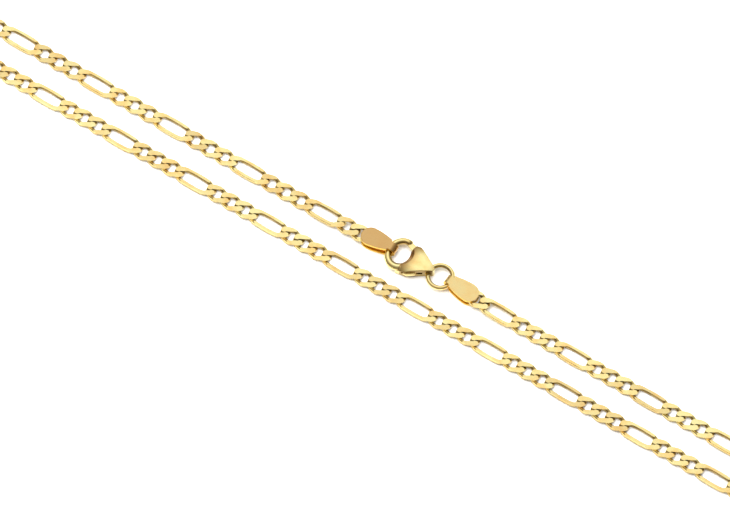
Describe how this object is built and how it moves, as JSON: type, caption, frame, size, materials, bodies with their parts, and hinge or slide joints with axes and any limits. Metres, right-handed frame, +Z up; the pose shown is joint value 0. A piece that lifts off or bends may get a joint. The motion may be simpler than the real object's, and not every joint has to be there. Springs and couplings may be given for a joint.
{
  "type": "figaro chain necklace",
  "caption": "Flat figaro neck chain in yellow gold, its short and long links in turn, closed by a lobster clasp on a round jump ring and laid out as a long loop.",
  "frame": {"origin": "middle of the loop, on the surface that it lies on", "axes": "+X along the two straight strands, towards the jump ring's side; +Y across the strands, towards the one with the clasp; +Z up from the surface"},
  "size_m": [0.2206, 0.0198, 0.0027],
  "materials": {
    "chain_gold": "polished",
    "fitting_gold": "polished"
  },
  "bodies": {
    "necklace": {"chain_ring_side": "chain_gold", "chain_hook_side": "chain_gold", "ring_side_tab": "fitting_gold", "hook_side_tab": "fitting_gold", "jump_ring": "fitting_gold", "clasp_body": "fitting_gold"},
    "lever": {"clasp_lever": "fitting_gold"}
  },
  "joints": [
    {"name": "lever_pivot", "type": "hinge", "parent": "necklace", "child": "lever", "pos_m": [0.01117, 0.0039, 0.00129], "axis": [0, 0, 1], "range_deg": [0, 25], "stiffness_Nm_per_rad": 0.004, "springref_deg": -17.19}
  ]
}
